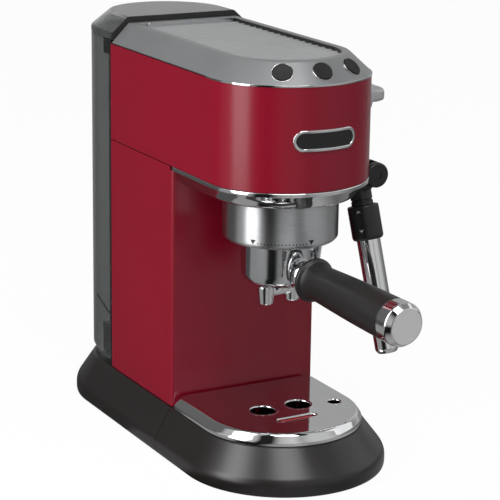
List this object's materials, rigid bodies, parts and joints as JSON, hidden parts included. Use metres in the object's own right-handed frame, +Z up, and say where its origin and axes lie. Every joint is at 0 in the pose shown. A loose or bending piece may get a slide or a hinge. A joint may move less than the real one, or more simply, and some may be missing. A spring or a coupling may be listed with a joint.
{
  "type": "pump espresso machine",
  "caption": "Slim upright pump espresso machine: painted column and head, round bright drip tray, bayonet portafilter, side steam wand and lift-out rear water tank.",
  "frame": {"origin": "middle of the footprint, on the worktop", "axes": "+Z up; the user stands at -Y, so the portafilter handle points along -Y and the water tank is at +Y; +X is the user's right, where the steam wand hangs"},
  "size_m": [0.1562, 0.3921, 0.3],
  "materials": {
    "red_paint": "satin",
    "dark_plastic": "satin moulded",
    "black_plastic": "semi-gloss",
    "soft_grip": "satin soft touch",
    "rubber": "matt",
    "grey_cover": "satin metallic",
    "polished_steel": "mirror",
    "brushed_steel": "turned and brushed",
    "sheet_steel": "zinc plated",
    "cast_metal": "as cast",
    "brass": "machined",
    "smoked_clear": "smoke-tinted clear moulding",
    "clear_hose": "translucent",
    "red_plastic": "gloss",
    "circuit_board": "solder mask"
  },
  "bodies": {
    "machine": {"base_housing": "dark_plastic", "base_frame": "sheet_steel", "rubber_feet": "rubber", "base_screws": "sheet_steel", "cable_gland": "rubber", "switch_frame": "black_plastic", "tank_socket": "black_plastic", "column_shell": "red_paint", "rear_panel": "dark_plastic", "column_frame": "sheet_steel", "power_board": "circuit_board", "pump": "brass", "pump_mounts": "rubber", "flow_meter": "clear_hose", "suction_hose": "clear_hose", "delivery_pipe": "clear_hose", "head_shell": "red_paint", "head_band": "polished_steel", "head_underpan": "polished_steel", "head_frame": "sheet_steel", "thermoblock": "cast_metal", "steam_valve": "brass", "steam_pipe": "brushed_steel", "control_board": "circuit_board", "upper_trim": "black_plastic", "top_cover": "grey_cover", "cup_plate": "brushed_steel", "button_frame": "black_plastic", "badge_plate": "black_plastic", "badge_rim": "polished_steel", "group_ring": "brushed_steel", "brew_head": "cast_metal", "group_gasket": "rubber", "shower_screen": "brushed_steel", "shower_screw": "brushed_steel", "wand_bracket": "black_plastic"},
    "tray": {"drip_tray": "dark_plastic"},
    "grille": {"cup_grille": "polished_steel"},
    "float": {"level_float": "red_plastic"},
    "tank": {"water_tank": "smoked_clear", "tank_filter": "black_plastic", "tank_grip": "black_plastic", "lid_pin": "sheet_steel"},
    "valve": {"tank_valve": "black_plastic"},
    "lid": {"tank_lid": "smoked_clear"},
    "left_button": {"button_left": "black_plastic"},
    "middle_button": {"button_middle": "black_plastic"},
    "right_button": {"button_right": "black_plastic"},
    "knob": {"steam_knob": "polished_steel"},
    "wand": {"wand_elbow": "black_plastic", "frother_tube": "polished_steel"},
    "selector": {"frother_selector": "black_plastic"},
    "portafilter": {"portafilter_cup": "polished_steel", "filter_basket": "brushed_steel", "basket_spring": "brushed_steel", "twin_spout": "polished_steel", "handle_collar": "polished_steel", "handle_grip": "soft_grip", "handle_cap": "polished_steel"},
    "switch": {"switch_rocker": "black_plastic"}
  },
  "joints": [
    {"name": "tray_slide", "type": "slide", "parent": "machine", "child": "tray", "axis": [0, -1, 0], "range_m": [0, 0.15]},
    {"name": "grille_lift", "type": "slide", "parent": "tray", "child": "grille", "axis": [0, 0, 1], "range_m": [0, 0.05]},
    {"name": "float_rise", "type": "slide", "parent": "tray", "child": "float", "axis": [0, 0, 1], "range_m": [0, 0.008]},
    {"name": "tank_lift", "type": "slide", "parent": "machine", "child": "tank", "axis": [0, 0, 1], "range_m": [0, 0.27]},
    {"name": "valve_lift", "type": "slide", "parent": "tank", "child": "valve", "axis": [0, 0, 1], "range_m": [0, 0.003], "stiffness_N_per_m": 200, "springref_m": -0.003},
    {"name": "lid_hinge", "type": "hinge", "parent": "tank", "child": "lid", "pos_m": [-0.00368, 0.18929, 0.286], "axis": [-1, 0, 0], "range_deg": [0, 100]},
    {"name": "portafilter_turn", "type": "hinge", "parent": "machine", "child": "portafilter", "pos_m": [-0.00368, -0.04801, 0.175], "axis": [0, 0, 1], "range_deg": [-55, 0]},
    {"name": "steam_knob_turn", "type": "hinge", "parent": "machine", "child": "knob", "pos_m": [0.05522, -0.04701, 0.2615], "axis": [1, 0, 0], "range_deg": [0, 180]},
    {"name": "wand_swing", "type": "hinge", "parent": "machine", "child": "wand", "pos_m": [0.06432, -0.05851, 0.205], "axis": [0, -1, 0], "range_deg": [0, 50]},
    {"name": "selector_slide", "type": "slide", "parent": "wand", "child": "selector", "axis": [0.08, -0.2389, -0.9677], "range_m": [0, 0.005]},
    {"name": "switch_rock", "type": "hinge", "parent": "machine", "child": "switch", "pos_m": [-0.02768, 0.17899, 0.02], "axis": [1, 0, 0], "range_deg": [-14, 0]},
    {"name": "left_press", "type": "slide", "parent": "machine", "child": "left_button", "axis": [0.3536, 0.6124, -0.7071], "range_m": [0, 0.0015], "stiffness_N_per_m": 800, "springref_m": -0.002},
    {"name": "middle_press", "type": "slide", "parent": "machine", "child": "middle_button", "axis": [0, 0.7071, -0.7071], "range_m": [0, 0.0015], "stiffness_N_per_m": 800, "springref_m": -0.002},
    {"name": "right_press", "type": "slide", "parent": "machine", "child": "right_button", "axis": [-0.3536, 0.6124, -0.7071], "range_m": [0, 0.0015], "stiffness_N_per_m": 800, "springref_m": -0.002}
  ]
}
